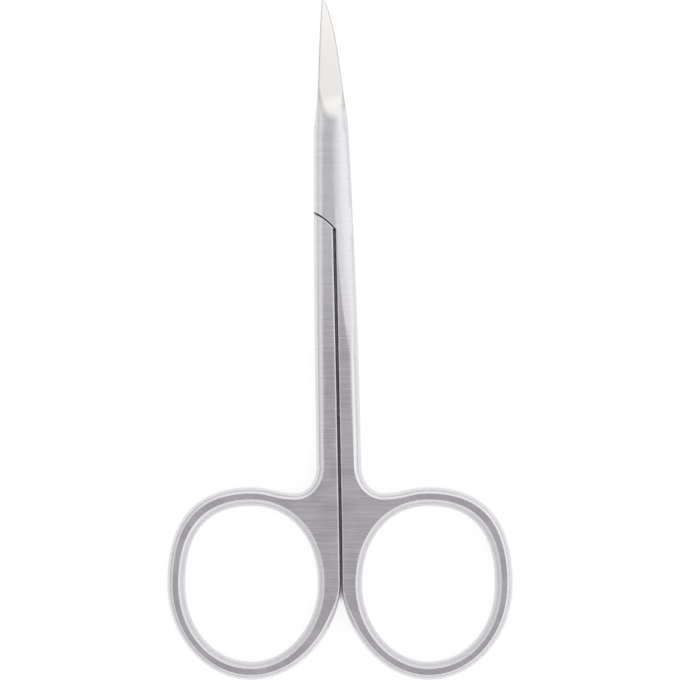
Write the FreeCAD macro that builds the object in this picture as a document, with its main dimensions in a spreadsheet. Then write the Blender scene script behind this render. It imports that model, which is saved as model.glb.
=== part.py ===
import FreeCAD, Part, Sketcher
import math
import os

V = FreeCAD.Vector
doc = FreeCAD.newDocument("cuticle_scissors")
sheet = doc.addObject("Spreadsheet::Sheet", "Sizes")

# Driving dimensions in millimetres and degrees. The closed scissors lie on their back, tip towards +Y.
SIZES = {
    # lengths along the scissors, from the tip to the rings
    "blade_length": 19.0,
    "joint_length": 14.6,
    "shank_length": 38.1,
    # widths of the closed pair, and how far each place leans left of the middle
    "joint_width": 5.06,
    "joint_lean": 1.3,
    "shank_pair_width": 6.6,
    "shank_lean": 0.17,
    "tip_width": 0.36,
    "tip_lean": 2.5,
    "split_lean": 1.0,
    "corner_radius": 3.2,
    "ledge_dip": 0.9,
    # finger rings
    "hole_width": 19.6,
    "hole_height": 23.0,
    "top_wall": 2.7,
    "outer_wall": 2.58,
    "bottom_wall": 2.6,
    "front_inner_wall": 2.91,
    "rear_inner_wall": 3.25,
    # thickness of the stock at the joint and at the ring end
    "joint_thickness": 4.2,
    "ring_thickness": 3.2,
    # edges rounded on the rough forging, and what the belt then grinds off its flats
    "side_round": 1.6,
    "ring_round": 1.3,
    "hole_round": 1.5,
    "edge_break": 0.4,
    "joint_grind": 0.03,
    "ring_grind": 0.12,
    # crown of the joint, fading into the flat shanks
    "root_crown": 5.2,
    "foot_crown": 40.0,
    "crown_length": 43.0,
    "root_lift": 0.03,
    "foot_lift": 0.5,
    "crown_lean": 0.45,
    # gaps between the two halves
    "split_gap": 0.3,
    "shoulder_gap": 0.3,
    "lap_gap": 0.1,
    # shoulders where the shanks end at the joint
    "shoulder_rise": 2.45,
    "shoulder_bulge": 0.23,
    # blades: bow away from the back, forged height, ground face
    "tip_rise": 3.2,
    "tip_height": 0.6,
    "face_height": 1.0,
    "tip_face_height": 0.3,
    "face_tilt": 17.0,
    "plunge_length": 4.6,
    "plunge_end": 5.0,
    "plunge_clearance": 0.06,
    "edge_round": 2.03,
    "tip_round": 0.12,
    "edge_reveal": 0.1,
    "root_step": 0.02,
    # pivot screw
    "pivot_height": 7.4,
    "head_diameter": 3.2,
    "head_thickness": 0.7,
    "head_sink": 0.3,
    "head_chamfer": 0.12,
    "head_clearance": 0.06,
    "shoulder_diameter": 2.2,
    "shoulder_clearance": 0.03,
    "thread_diameter": 1.7,
    "thread_length": 1.3,
    "thread_clearance": 0.02,
    "slot_width": 0.5,
    "slot_depth": 0.35,
    # how far a cutting shape runs past what it cuts
    "overrun": 4.0,
}
for row, (name, value) in enumerate(SIZES.items(), start=1):
    sheet.set(f"A{row}", name)
    sheet.set(f"B{row}", str(value))
    sheet.setAlias(f"B{row}", name)
doc.recompute()


def mm(formula):
    """The value of a formula of the sheet's sizes."""
    return float(sheet.evalExpression(formula))


# Shares chosen by eye: fullness of each ring quarter, bows of the sides, stations along a blade
OUTLINE_FULLNESS_SHARES = {"top": 0.665, "bottom": 0.55, "inner": 0.52}
HOLE_FULLNESS_SHARES = {"top": 0.66, "bottom": 0.57, "inner": 0.54, "inner_top": 0.59}
FRONT_SIDE_BOW_SHARES = (0.76, 0.53)
REAR_SIDE_BOW_SHARES = (-0.24, 0.47)
SPLIT_BOW_SHARE = 0.56
CORNER_WEIGHT_SHARE = 0.75
CROTCH_START_SHARE = 0.7
STATION_SHARES = (0.0, 0.25, 0.5, 0.75, 0.9, 1.0)
LEFT_DRIFT_SHARES = (0.0, 0.39, 0.59, 0.76, 0.89, 1.0)
RIGHT_DRIFT_SHARES = (0.0, 0.175, 0.36, 0.585, 0.8, 1.0)
REVEAL_SHARES = (0.0, 1.0, 1.0, 0.8, 0.5, 0.0)
HEIGHT_TAPER_SHARES = (0.0, 0.17, 0.42, 0.7, 0.88, 1.0)
ROUND_TAPER_SHARES = (0.0, 0.5, 0.72, 0.86, 0.95, 1.0)
FACE_STATIONS = 24
CROWN_STATIONS = 6
CROWN_REACH_SHARES = (0.66, 1.0)
CROWN_START_SHARE = -0.05
LEDGE_SWELL_SHARE = 0.45
NEAR_SHARE = 0.01

# Places as formulas of the sizes: along the length, across the width, and up from the back
RING_HEIGHT = "(Sizes.bottom_wall + Sizes.hole_height + Sizes.top_wall)"
WHOLE_LENGTH = f"({RING_HEIGHT} + Sizes.shank_length + Sizes.joint_length + Sizes.blade_length)"
RING_END = f"(-{WHOLE_LENGTH} / 2)"
RING_TOP = f"({RING_END} + {RING_HEIGHT})"
SHOULDER = f"({RING_TOP} + Sizes.shank_length)"
BLADE_ROOT = f"({SHOULDER} + Sizes.joint_length)"
RING_MIDDLE = f"({RING_END} + Sizes.bottom_wall + Sizes.hole_height / 2)"
PIVOT_ALONG = f"({SHOULDER} + Sizes.pivot_height)"
PIVOT_ACROSS = "(-Sizes.joint_lean)"
RING_WIDTHS = "(2 * (Sizes.outer_wall + Sizes.hole_width) + Sizes.front_inner_wall + Sizes.rear_inner_wall)"
HALF_WIDTH = f"(({RING_WIDTHS} + Sizes.split_gap) / 2)"
HOLE_MIDDLE = f"({HALF_WIDTH} - Sizes.outer_wall - Sizes.hole_width / 2)"
SPLIT_MIDDLE = f"({HOLE_MIDDLE} - Sizes.hole_width / 2 - Sizes.front_inner_wall - Sizes.split_gap / 2)"
LAP_LEVEL = "(Sizes.joint_thickness / 2)"
SCREW_SEAT = f"({LAP_LEVEL} + Sizes.lap_gap / 2)"
TIP_TOP = "(Sizes.joint_thickness + Sizes.tip_rise)"

ring_end, ring_top, shoulder, blade_root = mm(RING_END), mm(RING_TOP), mm(SHOULDER), mm(BLADE_ROOT)
tip = blade_root + mm("Sizes.blade_length")
ring_middle, hole_middle, half_width = mm(RING_MIDDLE), mm(HOLE_MIDDLE), mm(HALF_WIDTH)
hole_half_width, hole_half_height = mm("Sizes.hole_width / 2"), mm("Sizes.hole_height / 2")
pivot = V(mm(PIVOT_ACROSS), mm(PIVOT_ALONG), 0)
lap_level, lap_gap = mm(LAP_LEVEL), mm("Sizes.lap_gap")
overrun = mm("Sizes.overrun")
near = lap_gap * NEAR_SHARE

FRONT, REAR = 1, -1


def flat(across, along):
    """A point of the plan."""
    return V(across, along, 0)


def bezier(*points):
    """A plan edge that leaves its first point and reaches its last one along the points between."""
    curve = Part.BezierCurve()
    curve.setPoles(list(points))
    return curve.toShape()


def line(start, end):
    """A straight edge."""
    return Part.LineSegment(start, end).toShape()


def start_of(edge):
    """The point where an edge starts."""
    return edge.valueAt(edge.FirstParameter)


def end_of(edge):
    """The point where an edge ends."""
    return edge.valueAt(edge.LastParameter)


def ring_quarter(start, end, fullness):
    """A quarter of a ring outline: fullness says how far it swells towards the corner of its box."""
    level_start = abs(start.y - ring_middle) > abs(end.y - ring_middle)
    corner = flat(end.x, start.y) if level_start else flat(start.x, end.y)
    return bezier(start, start + (corner - start) * fullness, end + (corner - end) * fullness, end)


def pair_side(hand):
    """One side of the closed pair, from the blade root to the corner above the ring."""
    root = mm(f"-Sizes.joint_lean + {hand} * Sizes.joint_width / 2")
    foot = mm(f"-Sizes.shank_lean + {hand} * Sizes.shank_pair_width / 2")
    foot_along = ring_top + mm("Sizes.corner_radius")
    across_share, along_share = FRONT_SIDE_BOW_SHARES if hand == FRONT else REAR_SIDE_BOW_SHARES
    bow = flat(root + (foot - root) * across_share, blade_root + (foot_along - blade_root) * along_share)
    return bezier(flat(root, blade_root), bow, flat(foot, foot_along))


def joint_side(hand):
    """The side of the joint across from the half's own shank, down to where the shoulder meets it."""
    curve = pair_side(-hand).Curve.toBSpline()
    stop = shoulder + mm("Sizes.shoulder_rise")
    level = Part.LineSegment(flat(-half_width, stop), flat(half_width, stop))
    meeting = curve.intersectCC(level)[0]
    curve.segment(curve.FirstParameter, curve.parameter(flat(meeting.X, meeting.Y)))
    return curve.toShape()


def split_top(hand):
    """Where the half's flank along the split meets its shoulder."""
    across = mm(f"{SPLIT_MIDDLE} - Sizes.split_lean + {hand} * Sizes.split_gap / 2")
    return flat(across, shoulder)


def shoulder_arc(hand, drop):
    """The end of the lap, from the joint's side to the split, bulging towards the blades."""
    first = end_of(joint_side(hand)) - V(0, drop, 0)
    last = split_top(hand) - V(0, drop, 0)
    chord = last - first
    bulge = V(chord.y, -chord.x, 0).normalize() * -hand
    return Part.Arc(first, (first + last) / 2 + bulge * mm("Sizes.shoulder_bulge"), last).toShape()


def outline(hand):
    """The named plan edges of one half, in order: its side, its ring, its split flank and its lap."""
    side = pair_side(hand)
    slope = side.tangentAt(side.LastParameter)
    ledge_along = ring_top - mm("Sizes.ledge_dip")
    knee = end_of(side) + slope * ((ledge_along - end_of(side).y) / slope.y)
    ledge = flat(knee.x + hand * mm("Sizes.corner_radius"), ledge_along)
    corner = Part.BezierCurve()
    corner.setPoles([end_of(side), knee, ledge])
    corner.setWeight(2, CORNER_WEIGHT_SHARE)
    inner_wall = mm("Sizes.front_inner_wall" if hand == FRONT else "Sizes.rear_inner_wall")
    top = flat(hand * hole_middle, ring_top)
    outer = flat(hand * half_width, ring_middle)
    bottom = flat(hand * hole_middle, ring_end)
    inner = flat(hand * (hole_middle - hole_half_width - inner_wall), ring_middle)
    inner_quarter = ring_quarter(bottom, inner, OUTLINE_FULLNESS_SHARES["inner"]).Curve
    ring_inner, crotch = inner_quarter.copy(), inner_quarter.copy()
    ring_inner.segment(0, CROTCH_START_SHARE)
    crotch.segment(CROTCH_START_SHARE, 1)
    swell = flat((top.x - ledge.x) * LEDGE_SWELL_SHARE, 0)
    split_bow = inner + V(0, hole_half_height * SPLIT_BOW_SHARE, 0)
    far_side = joint_side(hand)
    return {
        "side": side,
        "corner": corner.toShape(),
        "ledge": bezier(ledge, ledge + swell, top - swell, top),
        "ring_top": ring_quarter(top, outer, OUTLINE_FULLNESS_SHARES["top"]),
        "ring_bottom": ring_quarter(outer, bottom, OUTLINE_FULLNESS_SHARES["bottom"]),
        "ring_inner": ring_inner.toShape(),
        "crotch": crotch.toShape(),
        "split": bezier(inner, split_bow, split_top(hand)),
        "shoulder": shoulder_arc(hand, 0),
        "far_side": far_side,
        "root": line(start_of(far_side), start_of(side)),
    }


def finger_hole(hand):
    """The plan edges of a finger hole: four quarters, fullest at the top towards the outside."""
    top = flat(hand * hole_middle, ring_middle + hole_half_height)
    bottom = flat(hand * hole_middle, ring_middle - hole_half_height)
    outer = flat(hand * (hole_middle + hole_half_width), ring_middle)
    inner = flat(hand * (hole_middle - hole_half_width), ring_middle)
    fullness = HOLE_FULLNESS_SHARES
    return [
        ring_quarter(top, outer, fullness["top"]),
        ring_quarter(outer, bottom, fullness["bottom"]),
        ring_quarter(bottom, inner, fullness["inner"]),
        ring_quarter(inner, top, fullness["inner_top"]),
    ]


def document_object(kind, name, **values):
    """A document object of this kind with these properties set."""
    piece = doc.addObject(kind, name)
    for value_name, value in values.items():
        setattr(piece, value_name, value)
    return piece


def bind(piece, **formulas):
    """Bind properties of a document object to formulas of the sheet's sizes."""
    for property_name, formula in formulas.items():
        piece.setExpression(property_name, formula)
    return piece


def prism(name, face, base, height):
    """A plan face carried straight up from its base by its height, both formulas."""
    plan = document_object("Part::Feature", f"{name}_plan", Shape=face)
    upright = document_object("Part::Extrusion", name, Base=plan, DirMode="Custom", Solid=True)
    upright.Dir = V(0, 0, 1)
    return bind(upright, LengthFwd=f"{base} + {height}", LengthRev=f"-({base})")


def rounded(name, base, laws):
    """Round the edges over the given plan edges; a law has the radius at the start and at the end."""
    picks = []
    for index, edge in enumerate(base.Shape.Edges, start=1):
        first, last = start_of(edge), end_of(edge)
        if flat(first.x, first.y).isEqual(flat(last.x, last.y), near):
            continue
        middle = edge.valueAt((edge.FirstParameter + edge.LastParameter) / 2)
        for plan_edge, start_radius, end_radius in laws:
            if Part.Vertex(flat(middle.x, middle.y)).distToShape(plan_edge)[0] < near:
                along = flat(first.x, first.y).isEqual(start_of(plan_edge), near)
                radii = (start_radius, end_radius) if along else (end_radius, start_radius)
                picks.append((index, *radii))
    return document_object("Part::Fillet", name, Base=base, Edges=picks)


def stock(name, ring_grind, joint_grind):
    """A bar past both ends of the handles, tapering to the rings, thicker by what is ground off."""
    bar = document_object("Part::Wedge", name)
    wide = f"{HALF_WIDTH} + Sizes.overrun"
    past = f"Sizes.overrun / ({BLADE_ROOT} - {RING_END})"
    ring_front = f"(Sizes.ring_thickness + {ring_grind})"
    joint_front = f"(Sizes.joint_thickness + {joint_grind})"
    front_taper = f"({joint_front} - {ring_front}) * {past}"
    back_taper = f"({ring_grind} - {joint_grind}) * {past}"
    return bind(bar, Xmin=f"-({wide})", Xmax=wide, X2min=f"-({wide})", X2max=wide,
                Ymin=f"{RING_END} - Sizes.overrun", Ymax=f"{BLADE_ROOT} + Sizes.overrun",
                Zmin=f"-{ring_grind} - {back_taper}", Z2min=f"-{joint_grind} + {back_taper}",
                Zmax=f"{ring_front} - {front_taper}", Z2max=f"{joint_front} + {front_taper}")


rough_stock = stock("rough_stock", "Sizes.ring_grind", "Sizes.joint_grind")
ground_stock = stock("ground_stock", "0 * Sizes.ring_grind", "0 * Sizes.joint_grind")


def crowning(side):
    """What is ground off one face of the joint to crown it: lofted arcs that flatten towards the shanks."""
    middle = pivot.x - mm("Sizes.crown_lean")
    root_reach, foot_reach = [mm("Sizes.joint_width") * share for share in CROWN_REACH_SHARES]
    length = mm("Sizes.crown_length")
    away = V(0, 0, side * overrun)
    sections = []
    for station in range(CROWN_STATIONS + 1):
        share = CROWN_START_SHARE + (1 - CROWN_START_SHARE) * station / CROWN_STATIONS
        along = blade_root - length * share
        taper = mm("Sizes.joint_thickness - Sizes.ring_thickness") / (blade_root - ring_end)
        face = mm("Sizes.joint_thickness") - taper * length * share if side == FRONT else 0
        lift = mm("Sizes.root_lift") + mm("Sizes.foot_lift - Sizes.root_lift") * share ** 2
        level = face + side * lift
        root_bend, foot_bend = mm("1 / Sizes.root_crown"), mm("1 / Sizes.foot_crown")
        radius = 1 / (root_bend + (foot_bend - root_bend) * share)
        reach = root_reach + (foot_reach - root_reach) * share
        drop = radius - math.sqrt(radius ** 2 - reach ** 2)
        left = V(middle - reach, along, level - side * drop)
        right = V(middle + reach, along, level - side * drop)
        arc = Part.Arc(left, V(middle, along, level), right).toShape()
        upper = [line(right, right + away), line(right + away, left + away), line(left + away, left)]
        sections.append(Part.Wire([arc] + upper))
    return Part.makeLoft(sections, True, False)


front_crowning = document_object("Part::Feature", "front_crowning", Shape=crowning(FRONT))
back_crowning = document_object("Part::Feature", "back_crowning", Shape=crowning(REAR))


def rough_prism(name, wire):
    """The plan inside this wire, cut from the rough stock."""
    upright = prism(f"{name}_upright", Part.Face(wire), "-Sizes.overrun", f"{TIP_TOP} + Sizes.overrun")
    return document_object("Part::Common", f"{name}_rough", Base=upright, Tool=rough_stock)


def handle(hand):
    """Joint, shank and ring of one half: edges rounded on the rough forging, then its flats ground."""
    name = "front" if hand == FRONT else "rear"
    edges = outline(hand)
    hole = finger_hole(hand)
    blank = rough_prism(name, Part.Wire(Part.__sortEdges__(list(edges.values()))))
    core = rough_prism(f"{name}_hole", Part.Wire(hole))
    around = document_object("Part::Cut", f"{name}_around", Base=rough_stock, Tool=core)
    doc.recompute()
    side, ring = mm("Sizes.side_round"), mm("Sizes.ring_round")
    rim, break_edge = mm("Sizes.hole_round"), mm("Sizes.edge_break")
    laws = [(edges["side"], side, side), (edges["far_side"], side, side), (edges["corner"], side, ring)]
    laws += [(edges[part], ring, ring) for part in ("ledge", "ring_top", "ring_bottom", "ring_inner")]
    laws += [(edges["crotch"], ring, break_edge), (edges["split"], break_edge, break_edge)]
    outside = rounded(f"{name}_outside", blank, laws)
    rim_plate = rounded(f"{name}_rim", around, [(edge, rim, rim) for edge in hole])
    plug = document_object("Part::Cut", f"{name}_plug", Base=rough_stock, Tool=rim_plate)
    ground = document_object("Part::Common", f"{name}_ground", Base=outside, Tool=ground_stock)
    return document_object("Part::Cut", f"{name}_ringed", Base=ground, Tool=plug)


def lap_region(hand):
    """The plan of what is cut from the half for the other half's lap: all above the other's shoulder."""
    arc = shoulder_arc(-hand, mm("Sizes.shoulder_gap"))
    high, low = start_of(arc), end_of(arc)
    own_edge = hand * half_width
    above = tip + overrun
    corners = [
        high,
        flat(own_edge, high.y),
        flat(own_edge, above),
        flat(-own_edge, above),
        flat(-own_edge, low.y),
        low,
    ]
    sides = [line(first, last) for first, last in zip(corners, corners[1:])]
    return Part.Face(Part.Wire(Part.__sortEdges__([arc] + sides)))


# The blades bow up from the lap along an arc that turns about the pivot, so they pass at every angle
bow_start = blade_root - pivot.y
bow_run = mm("Sizes.blade_length")
tip_rise = mm("Sizes.tip_rise")
bow_radius = (bow_run ** 2 + tip_rise ** 2) / (2 * tip_rise)


def bow_level(reach):
    """Height of the parting surface at a distance from the pivot."""
    run = max(reach - bow_start, 0)
    return lap_level + bow_radius - math.sqrt(bow_radius ** 2 - run ** 2)


def parting_cutter(hand):
    """What lies on the other half's side of the parting surface, turned about the pivot axis."""
    shift = hand * lap_gap / 2
    far_reach = bow_start + bow_run + overrun
    middle_reach = (bow_start + far_reach) / 2
    inside = V(0, 0, lap_level + shift)
    bend = V(bow_start, 0, lap_level + shift)
    middle = V(middle_reach, 0, bow_level(middle_reach) + shift)
    outside = V(far_reach, 0, bow_level(far_reach) + shift)
    away = lap_level - hand * (tip_rise + overrun)
    corners = [outside, V(far_reach, 0, away), V(0, 0, away), inside, bend]
    sides = [line(first, last) for first, last in zip(corners, corners[1:])]
    profile = Part.Face(Part.Wire(Part.__sortEdges__(sides + [Part.Arc(bend, middle, outside).toShape()])))
    turned = profile.revolve(V(0, 0, 0), V(0, 0, 1), 360)
    turned.translate(pivot)
    return turned


def blade_sides(station, hand):
    """Where the spine and the cutting edge of a blade lie across, at a station."""
    drift = {FRONT: RIGHT_DRIFT_SHARES[station], REAR: LEFT_DRIFT_SHARES[station]}
    across = {}
    for side in (FRONT, REAR):
        root = mm(f"-Sizes.joint_lean + {side} * (Sizes.joint_width / 2 - Sizes.root_step)")
        end = mm(f"-Sizes.tip_lean + {side} * Sizes.tip_width / 2")
        across[side] = root + (end - root) * drift[side]
    reveal = mm("Sizes.edge_reveal") * REVEAL_SHARES[station]
    return across[-hand], across[hand] - hand * reveal


def forged_section(station, hand):
    """The forged blade at a station: rounded over at the spine and at the edge, open to the parting side."""
    along = blade_root + mm("Sizes.blade_length") * STATION_SHARES[station]
    level = bow_level(along - pivot.y)
    root_height = mm("Sizes.joint_thickness - Sizes.root_step") - lap_level
    root_rounds = mm("Sizes.side_round"), mm("Sizes.edge_round")
    height = root_height + (mm("Sizes.tip_height") - root_height) * HEIGHT_TAPER_SHARES[station]
    tip_round, taper = mm("Sizes.tip_round"), ROUND_TAPER_SHARES[station]
    spine_round, edge_round = [root + (tip_round - root) * taper for root in root_rounds]
    spine_bite, edge_bite = [radius * (1 - math.cos(math.pi / 4)) for radius in (spine_round, edge_round)]
    spine, edge = blade_sides(station, hand)

    def point(across, up):
        return V(across, along, level + hand * up)

    foot_spine, foot_edge = point(spine, -root_height), point(edge, -root_height)
    side_spine, side_edge = point(spine, height - spine_round), point(edge, height - edge_round)
    top_spine, top_edge = point(spine + hand * spine_round, height), point(edge - hand * edge_round, height)
    turn_spine = point(spine + hand * spine_bite, height - spine_bite)
    turn_edge = point(edge - hand * edge_bite, height - edge_bite)
    return Part.Wire([
        line(foot_spine, side_spine),
        Part.Arc(side_spine, turn_spine, top_spine).toShape(),
        line(top_spine, top_edge),
        Part.Arc(top_edge, turn_edge, side_edge).toShape(),
        line(side_edge, foot_edge),
        line(foot_edge, foot_spine),
    ])


def face_point(along, across, hand):
    """A point of the ground blade face: eased in at the plunge, thinning to the tip, falling to the edge."""
    plunge_end = blade_root + mm("Sizes.plunge_end")
    run = min(max((plunge_end - along) / mm("Sizes.plunge_length"), 0), 1)
    lift = run * run * (3 - 2 * run)
    face_height, tip_face_height = mm("Sizes.face_height"), mm("Sizes.tip_face_height")
    height = face_height + (tip_face_height - face_height) * (along - plunge_end) / (tip - plunge_end)
    clear_height = mm("Sizes.joint_thickness + Sizes.plunge_clearance") - lap_level
    height += (clear_height - height) * lift
    lean = mm("Sizes.tip_lean - Sizes.joint_lean") * (along - blade_root) / (tip - blade_root)
    middle = -mm("Sizes.joint_lean") - lean
    fall = (across - middle) * math.tan(math.radians(mm("Sizes.face_tilt"))) * (1 - lift)
    return V(across, along, bow_level(along - pivot.y) + hand * height - fall)


def grinding(hand):
    """What the wheel takes off a blade: an eased plunge at the joint, then the tilted face to the tip."""
    reach = mm("Sizes.joint_width")
    left, right = pivot.x - reach, pivot.x + reach
    plunge_end = blade_root + mm("Sizes.plunge_end")
    run_out = tip + overrun
    away = V(0, 0, hand * (tip_rise + overrun))
    plunge_start = plunge_end - mm("Sizes.plunge_length")
    sections = []
    for station in range(FACE_STATIONS + 1):
        along = plunge_start + (run_out - plunge_start) * station / FACE_STATIONS
        low, high = face_point(along, left, hand), face_point(along, right, hand)
        corners = [low, high, high + away, low + away, low]
        sections.append(Part.makePolygon(corners[::hand]))
    return Part.makeLoft(sections, True, False)


def half(hand):
    """One half of the scissors: handle and ground blade in one, cut down to its side of the lap."""
    name = "front" if hand == FRONT else "rear"
    ringed = handle(hand)
    stations = range(len(STATION_SHARES))
    forged = Part.makeLoft([forged_section(station, hand) for station in stations], True, False)
    forged_blade = document_object("Part::Feature", f"{name}_forged_blade", Shape=forged)
    wheel = document_object("Part::Feature", f"{name}_grinding", Shape=grinding(hand))
    blade = document_object("Part::Cut", f"{name}_blade", Base=forged_blade, Tool=wheel)
    forging = document_object("Part::Fuse", f"{name}_forging", Base=ringed, Tool=blade)
    crowned = document_object("Part::Cut", f"{name}_front_crowned", Base=forging, Tool=front_crowning)
    whole = document_object("Part::Cut", f"{name}_crowned", Base=crowned, Tool=back_crowning)
    region = prism(f"{name}_lap_region", lap_region(hand), "-Sizes.overrun", f"{TIP_TOP} + Sizes.overrun")
    parting = document_object("Part::Feature", f"{name}_parting", Shape=parting_cutter(hand))
    cutter = document_object("Part::Common", f"{name}_lap_cut", Base=region, Tool=parting)
    return document_object("Part::Cut", f"{name}_solid", Base=whole, Tool=cutter)


def bore(name, diameter, clearance, base, height):
    """A round cutter on the pivot axis: a diameter with its clearance, from its base up by its height."""
    hole = document_object("Part::Cylinder", name)
    bind(hole, Radius=f"({diameter}) / 2 + {clearance}", Height=height)
    hole.setExpression("Placement.Base.x", PIVOT_ACROSS)
    hole.setExpression("Placement.Base.y", PIVOT_ALONG)
    hole.setExpression("Placement.Base.z", base)
    return hole


front_solid, rear_solid = half(FRONT), half(REAR)

# Blind threaded hole in the front half
thread_hole = bore("thread_hole", "Sizes.thread_diameter", "Sizes.thread_clearance",
                   f"{SCREW_SEAT} - Sizes.overrun",
                   "Sizes.thread_length + Sizes.thread_clearance + Sizes.overrun")
front_half = document_object("Part::Cut", "front_half", Base=front_solid, Tool=thread_hole)

# Running bore and sunk head seat in the rear half
HEAD_TOP = "(Sizes.head_sink + Sizes.head_thickness)"
running_bore = bore("running_bore", "Sizes.shoulder_diameter", "Sizes.shoulder_clearance",
                    "-Sizes.overrun", "Sizes.joint_thickness + Sizes.overrun")
head_seat = bore("head_seat", "Sizes.head_diameter", "Sizes.head_clearance",
                 "-Sizes.overrun", f"{HEAD_TOP} + Sizes.head_clearance + Sizes.overrun")
screw_holes = document_object("Part::Fuse", "screw_holes", Base=running_bore, Tool=head_seat)
rear_half = document_object("Part::Cut", "rear_half", Base=rear_solid, Tool=screw_holes)


def closed_sketch(body, plane, name, corners):
    """A closed sketch of straight lines on one of the body's origin planes, its corners given as formulas."""
    sketch = body.newObject("Sketcher::SketchObject", name)
    support = next(feature for feature in body.Origin.OriginFeatures if feature.Role == plane)
    sketch.AttachmentSupport = [(support, "")]
    sketch.MapMode = "FlatFace"
    places = [V(mm(across), mm(up), 0) for across, up in corners]
    count = len(corners)
    for index, place in enumerate(places):
        sketch.addGeometry(Part.LineSegment(place, places[(index + 1) % count]), False)
    for index, (across, up) in enumerate(corners):
        sketch.addConstraint(Sketcher.Constraint("Coincident", index, 2, (index + 1) % count, 1))
        for kind, axis, formula, value in (("DistanceX", -2, across, places[index].x),
                                           ("DistanceY", -1, up, places[index].y)):
            if formula == "0":
                sketch.addConstraint(Sketcher.Constraint("PointOnObject", index, 1, axis))
            else:
                datum = sketch.addConstraint(Sketcher.Constraint(kind, -1, 1, index, 1, value))
                sketch.setExpression(f"Constraints[{datum}]", formula)
    return sketch


# Slotted shoulder screw: head sunk in the back, plain shoulder, threaded end
pivot_screw = doc.addObject("PartDesign::Body", "pivot_screw")
HEAD_RADIUS, SHOULDER_RADIUS = "Sizes.head_diameter / 2", "Sizes.shoulder_diameter / 2"
THREAD_RADIUS, THREAD_END = "Sizes.thread_diameter / 2", f"{SCREW_SEAT} + Sizes.thread_length"
screw_profile = closed_sketch(pivot_screw, "XZ_Plane", "screw_profile", [
    ("0", "Sizes.head_sink"),
    (f"{HEAD_RADIUS} - Sizes.head_chamfer", "Sizes.head_sink"),
    (HEAD_RADIUS, "Sizes.head_sink + Sizes.head_chamfer"),
    (HEAD_RADIUS, HEAD_TOP),
    (SHOULDER_RADIUS, HEAD_TOP),
    (SHOULDER_RADIUS, SCREW_SEAT),
    (THREAD_RADIUS, SCREW_SEAT),
    (THREAD_RADIUS, THREAD_END),
    ("0", THREAD_END),
])
turned_screw = pivot_screw.newObject("PartDesign::Revolution", "turned_screw")
turned_screw.Profile = screw_profile
turned_screw.ReferenceAxis = (screw_profile, ["V_Axis"])
turned_screw.Angle = 360
slot_plan = closed_sketch(pivot_screw, "XY_Plane", "slot_plan", [
    ("-Sizes.head_diameter", "-Sizes.slot_width / 2"),
    ("Sizes.head_diameter", "-Sizes.slot_width / 2"),
    ("Sizes.head_diameter", "Sizes.slot_width / 2"),
    ("-Sizes.head_diameter", "Sizes.slot_width / 2"),
])
doc.recompute()
whole_screw_volume = turned_screw.Shape.Volume
slot = pivot_screw.newObject("PartDesign::Pocket", "slot")
slot.Profile = slot_plan
slot.Reversed = True
bind(slot, Length="Sizes.head_sink + Sizes.slot_depth")
pivot_screw.setExpression("Placement.Base.x", PIVOT_ACROSS)
pivot_screw.setExpression("Placement.Base.y", PIVOT_ALONG)
doc.recompute()

# Nothing is written unless every object is sound
failed = [piece.Name for piece in doc.Objects if {"Invalid", "Error"} & set(piece.State)]
assert not failed, f"failed objects: {failed}"
assert slot.Shape.Volume < whole_screw_volume, "the slot cuts nothing"
os.makedirs("parts", exist_ok=True)
for piece in (front_half, rear_half, pivot_screw):
    shape = piece.Shape
    assert not shape.isNull() and shape.isValid() and len(shape.Solids) == 1, piece.Label
    print(f"{piece.Label}: {shape.Volume:.2f} cubic mm, {len(shape.Faces)} faces")
    shape.exportStep(f"parts/{piece.Label}.step")
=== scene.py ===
import bpy
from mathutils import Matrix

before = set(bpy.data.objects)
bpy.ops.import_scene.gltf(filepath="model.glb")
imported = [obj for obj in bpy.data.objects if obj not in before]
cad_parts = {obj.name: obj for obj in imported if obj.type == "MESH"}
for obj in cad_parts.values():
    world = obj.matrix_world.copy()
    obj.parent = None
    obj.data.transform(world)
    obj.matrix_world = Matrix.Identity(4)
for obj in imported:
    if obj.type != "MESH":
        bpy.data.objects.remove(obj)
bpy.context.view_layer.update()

scene = bpy.context.scene

# Front half: one forged piece of stainless steel with the right ring, the right shank, the upper lap of
# the joint and the front blade. Its flats are ground across on a belt, its rounded edges are buffed, its
# joint and finger hole are left satin, and its blade is polished along its length.

# Zones of a half in metres, each from where it starts to where it is full.
BLADE, JOINT = (0.0312, 0.0345), (-0.006, 0.018)
RING_FOOT, RING_SIDE = (-0.034, -0.041), (0.006, 0.01)
HOLE_CENTRE, HOLE_RADII, HOLE_RIM_SHARES = (0.01303, -0.0359), (0.0098, 0.0115), (1.34, 1.2)
GAP_X, GAP_SIDE, GAP_TOP, GAP_FOOT = -0.0004, (0.0019, 0.0009), (0.018, 0.017), (-0.0395, -0.035)
SHOULDER_Y, SHOULDER_WALL, SHOULDER_EDGE = 0.0176, (0.0019, 0.0016), (0.0022, 0.0017)
LAP_LEVEL, LAP_DEPTH, LAP_END, LAP_SHADE = 0.0021, (0.0004, 0.00012), (0.034, 0.028), 0.6

# How far a face tips: the upright part of its normal, from where a kind of face starts to where it is full.
FLAT, UPRIGHT, ACROSS_SHOULDER = (0.9, 0.995), (0.4, 0.15), (0.3, 0.45)

# Lines of grinding: their turns, and for a fine and a coarse layer the stretch of the noise and its share.
ACROSS, SLANTED, ALONG = (0.0, 0.0, 0.02), (0.0, 0.0, 0.62), (0.0, 0.0, 1.54)
LINE_LAYERS = (((110.0, 13000.0, 500.0), 0.7), ((60.0, 4500.0, 200.0), 0.3))
RING_LINES, CLOUD_SCALE, CLOUD_RANGE, CLOUD_SHARE = (0.35, 0.65), 220.0, (0.35, 0.65), 0.4
MARK_RANGE, LINE_DEPTH = (0.3, 0.7), 0.000004
EDGE_DEPTH, FLAT_DEPTH, BLADE_DEPTH = 0.08, 0.3, 0.06

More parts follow.
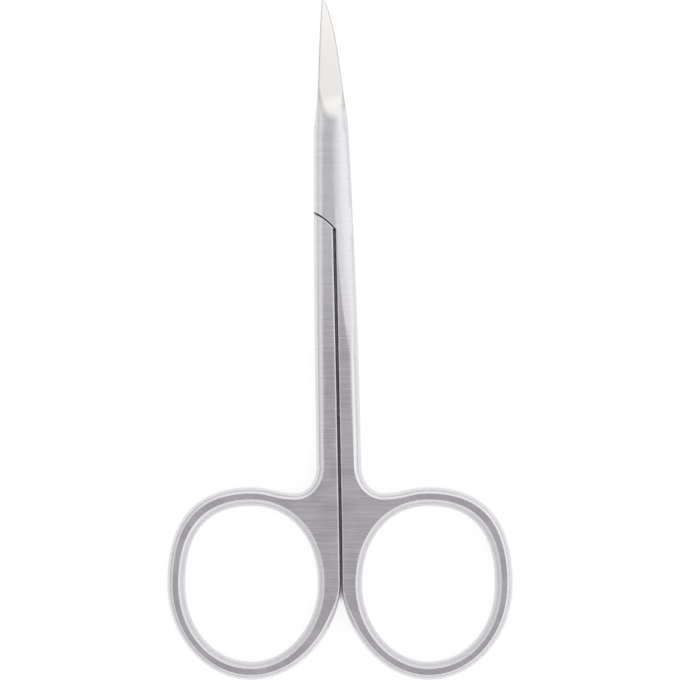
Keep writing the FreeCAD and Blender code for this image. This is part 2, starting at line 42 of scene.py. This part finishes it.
# Colours and roughness, each in the grooves and on the crests of the lines.
GROUND = (0.62, 0.584, 0.62, 1), (0.86, 0.808, 0.86, 1)
BUFFED = (0.72, 0.712, 0.73, 1), (0.75, 0.742, 0.76, 1)
SATIN = (0.71, 0.706, 0.73, 1), (0.82, 0.816, 0.84, 1)
POLISHED = (0.77, 0.75, 0.728, 1), (0.8, 0.78, 0.758, 1)
# Painted shade: the dark grey that the walls beside the gap and at the shoulder, and a share (LAP_SHADE) of
# the laps, are pulled to.
GAP_PAINTED_SHADE = (0.36, 0.352, 0.346, 1)
GROUND_ROUGHNESS, BUFFED_ROUGHNESS = (0.22, 0.32), (0.21, 0.26)
SATIN_ROUGHNESS, HOLE_ROUGHNESS, POLISHED_ROUGHNESS = (0.35, 0.42), (0.4, 0.46), (0.2, 0.25)

# Broken edges: how wide they look, and the stretches of the scissors where each width holds.
FINE_EDGE, SOFT_EDGE, ROOT_EDGE, BLADE_EDGE = 0.00014, 0.001, 0.0009, 0.0003
FRONT_GAP_EDGE, REAR_GAP_EDGE = 0.0002, 0.00032
SOFT_START, SOFT_END, BLADE_START = (-0.02, -0.005), (0.0385, 0.0345), (0.035, 0.0385)
ROOT_Y, ROOT_STRETCH = 0.0325, (0.0028, 0.0008)
EDGE_SAMPLES = 8


def add_node(tree, kind, inputs=(), **settings):
    """A node of this kind with these settings and input values."""
    node = tree.nodes.new(kind)
    for name, value in settings.items():
        setattr(node, name, value)
    for entry, value in dict(inputs).items():
        node.inputs[entry].default_value = value
    return node


def join(tree, node, entry, value):
    """Set an input to a number, or link a socket to it."""
    if isinstance(value, (int, float)):
        node.inputs[entry].default_value = value
    else:
        tree.links.new(value, node.inputs[entry])


def maths(tree, operation, first, second=0.0):
    """A sum, product or other step of two values, either of them a number."""
    node = add_node(tree, "ShaderNodeMath", operation=operation)
    join(tree, node, 0, first)
    join(tree, node, 1, second)
    return node.outputs[0]


def product(tree, first, second):
    """Both values multiplied: of two masks, where both hold."""
    return maths(tree, "MULTIPLY", first, second)


def either(tree, first, second):
    """The larger value: of two masks, where one of them holds."""
    return maths(tree, "MAXIMUM", first, second)


def size_of(tree, value):
    """The value without its sign."""
    return maths(tree, "ABSOLUTE", value)


def off(tree, value, middle):
    """How far the value is from the middle, to either side."""
    return size_of(tree, maths(tree, "SUBTRACT", value, middle))


def span(tree, value, low, high, start=0.0, end=1.0):
    """The value carried from low..high to start..end, smoothly and held at both ends."""
    node = add_node(tree, "ShaderNodeMapRange", {1: low, 2: high, 3: start, 4: end},
                    interpolation_type="SMOOTHSTEP")
    join(tree, node, 0, value)
    return node.outputs[0]


def share_of(tree, value, start, end):
    """A mask or a mark carried from 0..1 to start..end."""
    return span(tree, value, 0.0, 1.0, start, end)


def mix_values(tree, share, first, second):
    """First where the share is 0, second where it is 1."""
    node = add_node(tree, "ShaderNodeMix", data_type="FLOAT")
    for entry, value in zip((0, 2, 3), (share, first, second)):
        join(tree, node, entry, value)
    return node.outputs[0]


def mix_colours(tree, share, first, second):
    """First colour where the share is 0, second where it is 1; each a colour or a socket."""
    node = add_node(tree, "ShaderNodeMix", data_type="RGBA")
    join(tree, node, 0, share)
    for entry, colour in ((6, first), (7, second)):
        if isinstance(colour, tuple):
            node.inputs[entry].default_value = colour
        else:
            tree.links.new(colour, node.inputs[entry])
    return node.outputs[2]


def metal(name):
    """A new metal: its material, its node tree and its shader."""
    material = bpy.data.materials.new(name)
    material.use_nodes = True
    shader = material.node_tree.nodes["Principled BSDF"]
    shader.inputs["Metallic"].default_value = 1.0
    return material, material.node_tree, shader


def relief(tree, shader, edge_width, marks, strength):
    """Edges that look broken to this width, and marks standing up from the surface."""
    edges = add_node(tree, "ShaderNodeBevel", samples=EDGE_SAMPLES)
    join(tree, edges, "Radius", edge_width)
    bump = add_node(tree, "ShaderNodeBump", {"Distance": LINE_DEPTH})
    tree.links.new(edges.outputs[0], bump.inputs["Normal"])
    join(tree, bump, "Strength", strength)
    tree.links.new(marks, bump.inputs["Height"])
    tree.links.new(bump.outputs[0], shader.inputs["Normal"])


def grinding_lines_group():
    """Lines left by a belt or a buff: noise drawn out along the stroke, a fine and a coarse layer."""
    tree = bpy.data.node_groups.new("grinding_lines", "ShaderNodeTree")
    tree.interface.new_socket("Turn", in_out="INPUT", socket_type="NodeSocketVector")
    tree.interface.new_socket("Lines", in_out="OUTPUT", socket_type="NodeSocketFloat")
    entry = add_node(tree, "NodeGroupInput")
    place = add_node(tree, "ShaderNodeTexCoord")
    turned = add_node(tree, "ShaderNodeMapping")
    tree.links.new(place.outputs["Object"], turned.inputs["Vector"])
    tree.links.new(entry.outputs["Turn"], turned.inputs["Rotation"])
    layers = []
    for stretch, share in LINE_LAYERS:
        drawn = add_node(tree, "ShaderNodeMapping", {"Scale": stretch})
        noise = add_node(tree, "ShaderNodeTexNoise", {"Scale": 1.0, "Detail": 2.0, "Roughness": 0.55})
        tree.links.new(turned.outputs[0], drawn.inputs["Vector"])
        tree.links.new(drawn.outputs[0], noise.inputs["Vector"])
        layers.append(product(tree, noise.outputs[0], share))
    leave = add_node(tree, "NodeGroupOutput")
    tree.links.new(span(tree, maths(tree, "ADD", *layers), *MARK_RANGE), leave.inputs["Lines"])
    return tree


grinding_lines = grinding_lines_group()


def line_marks(tree, turn):
    """The grinding lines in this direction, from 0 in a groove to 1 on a crest."""
    lines = add_node(tree, "ShaderNodeGroup", node_tree=grinding_lines)
    lines.inputs["Turn"].default_value = turn
    return lines.outputs["Lines"]


def ground_steel(name, gap_edge):
    """Stainless steel: ground flats, satin joint, buffed edges, polished blade, and faces in the gaps painted
    dark grey as shade.
    """
    steel, tree, shader = metal(name)
    place = add_node(tree, "ShaderNodeTexCoord")
    where = add_node(tree, "ShaderNodeSeparateXYZ")
    facing = add_node(tree, "ShaderNodeSeparateXYZ")
    tree.links.new(place.outputs["Object"], where.inputs[0])
    tree.links.new(place.outputs["Normal"], facing.inputs[0])
    x, y, z = where.outputs

    # The zones, each a mask from 0 to 1.
    level = size_of(tree, facing.outputs["Z"])
    flat = span(tree, level, *FLAT)
    upright = span(tree, level, *UPRIGHT)
    blade = span(tree, y, *BLADE)
    joint = span(tree, y, *JOINT)
    from_middle = size_of(tree, x)
    rings = either(tree, span(tree, y, *RING_FOOT), span(tree, from_middle, *RING_SIDE))
    squares = []
    for value, centre, radius in zip((from_middle, y), HOLE_CENTRE, HOLE_RADII):
        share = maths(tree, "DIVIDE", maths(tree, "SUBTRACT", value, centre), radius)
        squares.append(product(tree, share, share))
    by_hole = span(tree, maths(tree, "ADD", *squares), *HOLE_RIM_SHARES)
    hole = product(tree, by_hole, share_of(tree, flat, 1.0, 0.0))
    by_gap = product(tree, span(tree, off(tree, x, GAP_X), *GAP_SIDE), span(tree, y, *GAP_TOP))
    gap_wall = product(tree, by_gap, span(tree, y, *GAP_FOOT))
    from_shoulder = off(tree, y, SHOULDER_Y)
    shoulder_wall = product(tree, span(tree, from_shoulder, *SHOULDER_WALL),
                            span(tree, size_of(tree, facing.outputs["Y"]), *ACROSS_SHOULDER))
    at_lap = product(tree, span(tree, off(tree, z, LAP_LEVEL), *LAP_DEPTH), span(tree, y, *LAP_END))
    lap = product(tree, at_lap, flat)
    # Painted shade: the walls beside the gap and at the shoulder, and a share of the laps, are marked to be
    # darkened.
    walls = product(tree, either(tree, gap_wall, shoulder_wall), upright)
    painted_shade = either(tree, walls, product(tree, lap, LAP_SHADE))

    # The marks of grinding and polishing.
    ring_lines = share_of(tree, line_marks(tree, SLANTED), *RING_LINES)
    belt = mix_values(tree, rings, line_marks(tree, ACROSS), ring_lines)
    lines = mix_values(tree, blade, belt, line_marks(tree, ALONG))
    cloud = add_node(tree, "ShaderNodeTexNoise", {"Scale": CLOUD_SCALE, "Detail": 2.0})
    tree.links.new(place.outputs["Object"], cloud.inputs["Vector"])
    tone = mix_values(tree, CLOUD_SHARE, lines, span(tree, cloud.outputs[0], *CLOUD_RANGE))

    # The colours.
    ground = mix_colours(tree, tone, *GROUND)
    shank = mix_colours(tree, flat, mix_colours(tree, lines, *BUFFED), ground)
    handle = mix_colours(tree, joint, shank, mix_colours(tree, lines, *SATIN))
    outside = mix_colours(tree, blade, handle, mix_colours(tree, lines, *POLISHED))
    # Painted shade: the marked walls and laps are pulled towards a dark grey, standing in for the shade
    # between the halves.
    tree.links.new(mix_colours(tree, painted_shade, outside, GAP_PAINTED_SHADE), shader.inputs["Base Color"])

    # The roughness.
    roughness = share_of(tree, lines, *BUFFED_ROUGHNESS)
    for zone, ends in ((flat, GROUND_ROUGHNESS), (joint, SATIN_ROUGHNESS), (hole, HOLE_ROUGHNESS),
                       (blade, POLISHED_ROUGHNESS)):
        roughness = mix_values(tree, zone, roughness, share_of(tree, lines, *ends))
    tree.links.new(roughness, shader.inputs["Roughness"])

    # The relief: lines, and edges broken by the buff, widely on the joint and narrowly along the gap.
    soft = product(tree, span(tree, y, *SOFT_START), span(tree, y, *SOFT_END))
    root = span(tree, off(tree, y, ROOT_Y), *ROOT_STRETCH, 0.0, ROOT_EDGE)
    width = maths(tree, "ADD", share_of(tree, soft, FINE_EDGE, SOFT_EDGE), root)
    width = mix_values(tree, span(tree, y, *BLADE_START), width, BLADE_EDGE)
    width = mix_values(tree, either(tree, by_gap, span(tree, from_shoulder, *SHOULDER_EDGE)), width, gap_edge)
    depth = share_of(tree, either(tree, flat, joint), EDGE_DEPTH, FLAT_DEPTH)
    relief(tree, shader, width, lines, mix_values(tree, blade, depth, BLADE_DEPTH))
    return steel


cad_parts["front_half"].material_slots[0].material = ground_steel("front_steel", FRONT_GAP_EDGE)

# Rear half: the second forging, with the left ring, the left shank, the lower lap and the rear blade.
# It is ground and polished in the same way.
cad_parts["rear_half"].material_slots[0].material = ground_steel("rear_steel", REAR_GAP_EDGE)

# Pivot screw: turned from steel rod, with a slotted head sunk in the back of the rear half.
# The lathe's tool leaves fine rings round its axis.
SCREW_AXIS, RINGS_PER_METRE, TURNED_ROUGHNESS = (-0.0013, 0.0238), 14000.0, (0.22, 0.32)
TURNED = (0.56, 0.552, 0.556, 1), (0.66, 0.652, 0.656, 1)
TURNED_EDGE, TURNED_DEPTH = 0.00008, 0.25


def turned_steel(name):
    """Turned steel: rings round the screw's axis."""
    steel, tree, shader = metal(name)
    place = add_node(tree, "ShaderNodeTexCoord")
    centred = add_node(tree, "ShaderNodeMapping",
                       {"Location": (-SCREW_AXIS[0], -SCREW_AXIS[1], 0.0), "Scale": (1, 1, 0)})
    radius = add_node(tree, "ShaderNodeVectorMath", operation="LENGTH")
    tree.links.new(place.outputs["Object"], centred.inputs["Vector"])
    tree.links.new(centred.outputs[0], radius.inputs[0])
    rings = add_node(tree, "ShaderNodeTexNoise", {"Scale": 1.0, "Detail": 2.0}, noise_dimensions="1D")
    tree.links.new(product(tree, radius.outputs["Value"], RINGS_PER_METRE), rings.inputs["W"])
    marks = span(tree, rings.outputs[0], *MARK_RANGE)
    tree.links.new(mix_colours(tree, marks, *TURNED), shader.inputs["Base Color"])
    tree.links.new(share_of(tree, marks, *TURNED_ROUGHNESS), shader.inputs["Roughness"])
    relief(tree, shader, TURNED_EDGE, marks, TURNED_DEPTH)
    return steel


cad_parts["pivot_screw"].material_slots[0].material = turned_steel("screw_steel")

# Table: a plain white sheet under the scissors. It keeps their shadow, and glows white to the lens and in the
# steel;
# an occlusion test dims that glow as painted shade wherever the scissors stand right over it, darkest in the
# gap between the halves.
TABLE_REACH, TABLE_LEVEL, TABLE_GREY, TABLE_GLOW = 3.0, -0.00005, 0.28, 0.8
SHADE_REACH, SHADE_SAMPLES, OPEN_SKY = 0.0009, 8, (0.3, 0.6)
table_mesh = bpy.data.meshes.new("table")
table_mesh.from_pydata([(x * TABLE_REACH, y * TABLE_REACH, TABLE_LEVEL)
                        for x, y in ((-1, -1), (1, -1), (1, 1), (-1, 1))], [], [(0, 1, 2, 3)])
table = bpy.data.objects.new("table", table_mesh)
scene.collection.objects.link(table)
paper = bpy.data.materials.new("white_paper")
paper.use_nodes = True
tree = paper.node_tree
shader = tree.nodes["Principled BSDF"]
shader.inputs["Base Color"].default_value = (TABLE_GREY, TABLE_GREY, TABLE_GREY, 1)
shader.inputs["Roughness"].default_value = 0.9
shader.inputs["Specular IOR Level"].default_value = 0.0
shader.inputs["Emission Color"].default_value = (1, 1, 1, 1)
path = add_node(tree, "ShaderNodeLightPath")
seen = either(tree, path.outputs["Is Camera Ray"], path.outputs["Is Glossy Ray"])
# Painted shade: the occlusion test dims the glow where the scissors stand close over the table.
open_sky = add_node(tree, "ShaderNodeAmbientOcclusion", {"Distance": SHADE_REACH}, samples=SHADE_SAMPLES)
glow_with_painted_shade = product(tree, seen, span(tree, open_sky.outputs["AO"], *OPEN_SKY))
tree.links.new(product(tree, glow_with_painted_shade, TABLE_GLOW), shader.inputs["Emission Strength"])
table_mesh.materials.append(paper)

# Light tent: a grey top, a bright right side, dimmer left side and ends, and a darker line low down where it
# meets the table.
TENT_FOOT, TENT_TOP = (0.48, 0.48, 0.48, 1), (0.42, 0.42, 0.43, 1)
TENT_LEVELS = ((0.1, 0.6), (0.2, 1.0), (0.5, 1.18), (0.8, 1.22), (0.95, 0.5))
TENT_BLUE_SHARE, TENT_ENDS, TENT_LEFT = 1.01, (0.1, 0.7, 1.0, 0.93), (-0.75, -0.15, 0.76, 1.0)
world = bpy.data.worlds.new("light_tent")
scene.world = world
world.use_nodes = True
tree = world.node_tree
place = add_node(tree, "ShaderNodeTexCoord")
direction = add_node(tree, "ShaderNodeSeparateXYZ")
tree.links.new(place.outputs["Generated"], direction.inputs[0])
ramp = add_node(tree, "ShaderNodeValToRGB")
stops = ramp.color_ramp.elements
stops[0].position, stops[0].color = 0.0, TENT_FOOT
stops[1].position, stops[1].color = 1.0, TENT_TOP
for position, level in TENT_LEVELS:
    stop = stops.new(position)
    stop.color = (level, level, level * TENT_BLUE_SHARE, 1)
tree.links.new(direction.outputs["Z"], ramp.inputs[0])
tree.links.new(ramp.outputs[0], tree.nodes["Background"].inputs["Color"])
to_side, to_end = size_of(tree, direction.outputs["X"]), size_of(tree, direction.outputs["Y"])
ends = span(tree, maths(tree, "SUBTRACT", to_end, to_side), *TENT_ENDS)
left = span(tree, direction.outputs["X"], *TENT_LEFT)
tree.links.new(product(tree, ends, left), tree.nodes["Background"].inputs["Strength"])

# Camera: a long lens straight above the middle of the scissors, tips up, their length filling the picture.
LENS, SENSOR, SHOWN, FOCUS_HEIGHT, FAR_END = 300.0, 36.0, 0.1, 0.0025, 10.0
camera_data = bpy.data.cameras.new("camera")
camera_data.lens = LENS
camera_data.sensor_width = SENSOR
camera_data.clip_end = FAR_END
camera = bpy.data.objects.new("camera", camera_data)
camera.location = (0.0, 0.0, SHOWN * LENS / SENSOR + FOCUS_HEIGHT)
scene.collection.objects.link(camera)
scene.camera = camera
scene.view_settings.view_transform = "Standard"
